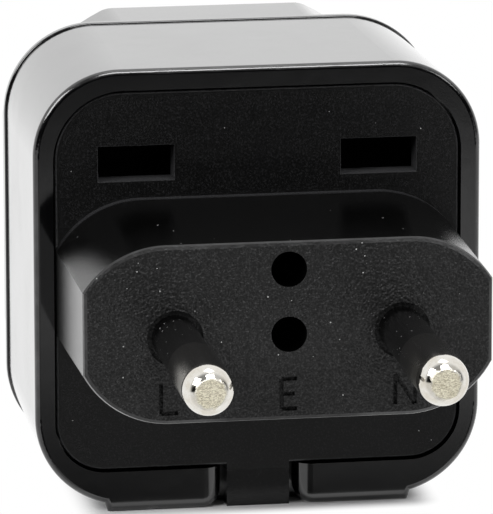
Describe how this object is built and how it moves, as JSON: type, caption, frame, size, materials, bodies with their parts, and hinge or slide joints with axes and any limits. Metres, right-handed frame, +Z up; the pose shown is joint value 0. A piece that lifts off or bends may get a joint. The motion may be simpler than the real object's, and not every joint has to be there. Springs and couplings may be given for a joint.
{
  "type": "travel adapter",
  "caption": "Two-pin travel adapter with a moulded plug body on a square housing and a universal socket face behind it.",
  "frame": {"origin": "on the surface that the adapter stands on, under the middle of its length and width", "axes": "-Y points out of the plug pins, +Y out of the socket face, +X to the neutral pin, +Z up"},
  "size_m": [0.0384, 0.0664, 0.0386],
  "materials": {
    "housing_gloss": "glossy black moulded plastic",
    "plug_matte": "finely pebbled black moulded plastic",
    "sleeve_plastic": "smooth black insulating sleeve",
    "carrier_plastic": "dark grey moulded plastic",
    "pin_nickel": "nickel-plated brass",
    "contact_brass": "pressed brass",
    "spring_steel": "plain spring steel",
    "screw_steel": "zinc-plated steel"
  },
  "bodies": {
    "root": {"contact_carrier": "carrier_plastic", "left_screw": "screw_steel", "live_contact": "contact_brass", "live_contact_clip": "spring_steel", "live_pin": "pin_nickel", "live_pin_sleeve": "sleeve_plastic", "live_pin_washer": "spring_steel", "live_rivet": "contact_brass", "live_strap": "contact_brass", "neutral_contact": "contact_brass", "neutral_contact_clip": "spring_steel", "neutral_pin": "pin_nickel", "neutral_pin_sleeve": "sleeve_plastic", "neutral_pin_washer": "spring_steel", "neutral_rivet": "contact_brass", "neutral_strap": "contact_brass", "plug_body": "plug_matte", "rear_housing": "housing_gloss", "right_screw": "screw_steel", "socket_housing": "housing_gloss"}
  },
  "joints": []
}
